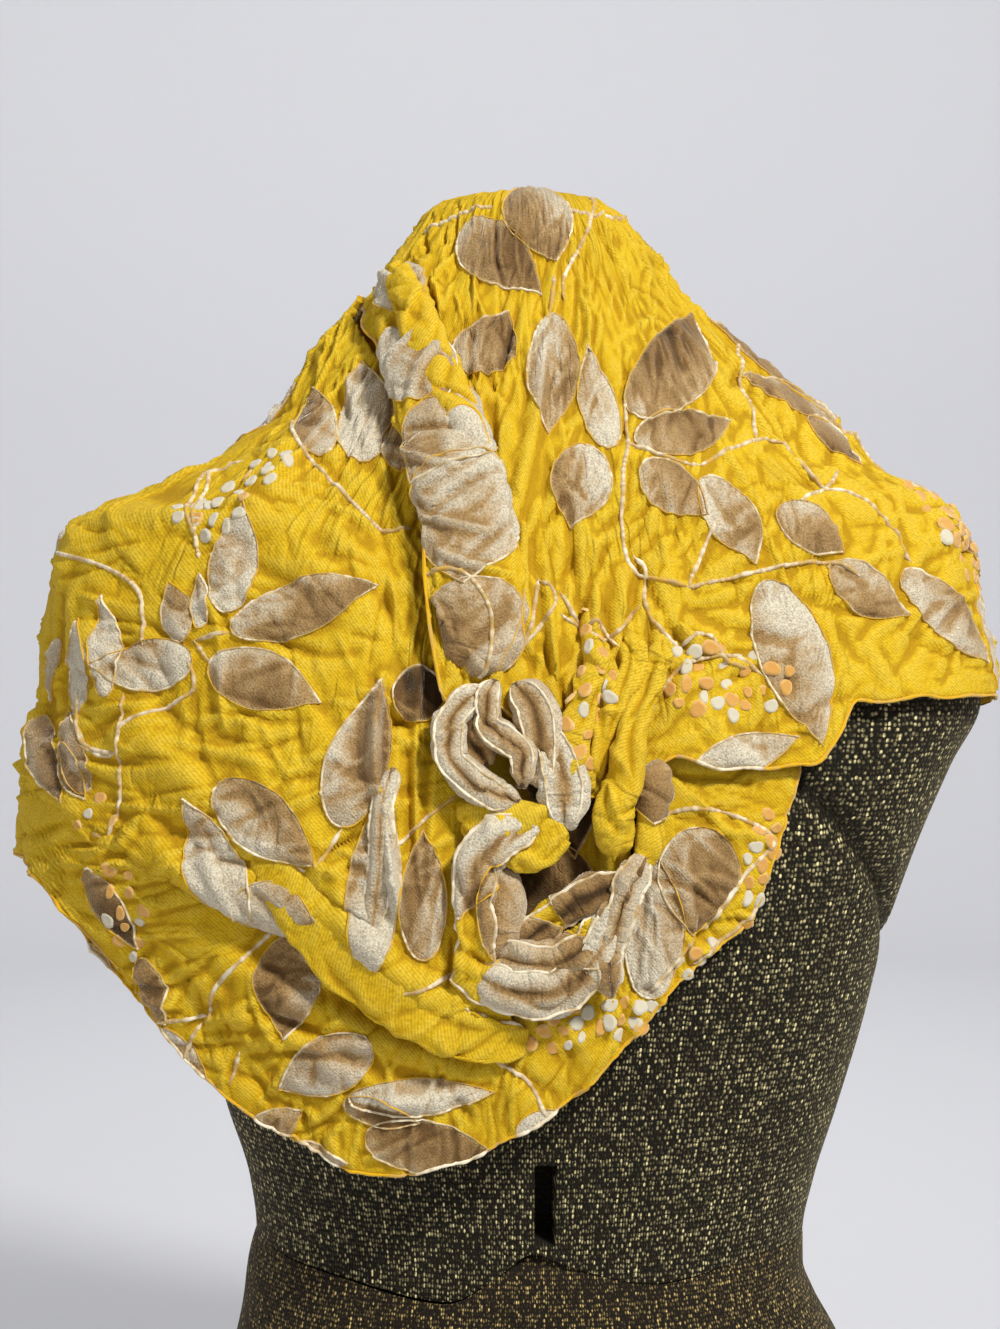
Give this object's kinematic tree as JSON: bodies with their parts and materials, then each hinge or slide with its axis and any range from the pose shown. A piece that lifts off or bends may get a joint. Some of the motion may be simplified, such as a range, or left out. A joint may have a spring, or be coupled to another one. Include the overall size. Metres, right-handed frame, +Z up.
{
  "type": "velvet scarf on a dress form",
  "caption": "Devore velvet scarf with a leaf and berry pattern, wound round the neck and shoulders of a limbless, knit-covered dress form.",
  "frame": {"origin": "middle of the flat underside of the form, on the surface that it stands on", "axes": "-Y is the front, +X is the viewer's right, +Z is up"},
  "size_m": [0.4618, 0.2796, 0.738],
  "materials": {
    "form_knit": "black-olive rib knit flecked with cream-gold metallic yarn",
    "hip_knit": "brown knit flecked with gold metallic yarn",
    "devore_velvet": "golden crinkled crepe with taupe velvet pile left in leaves, stems and berries"
  },
  "bodies": {
    "root": {"form_torso": "form_knit", "form_hips": "hip_knit", "scarf_neck_and_shoulder": "devore_velvet", "scarf_left_cowl": "devore_velvet", "scarf_hem_swag": "devore_velvet", "scarf_under_layer": "devore_velvet", "scarf_fold_column": "devore_velvet", "scarf_swirl": "devore_velvet", "scarf_throat": "devore_velvet", "scarf_ring_roll": "devore_velvet", "scarf_tucked_fold_1": "devore_velvet", "scarf_tucked_fold_2": "devore_velvet", "scarf_tucked_fold_3": "devore_velvet"}
  },
  "joints": []
}
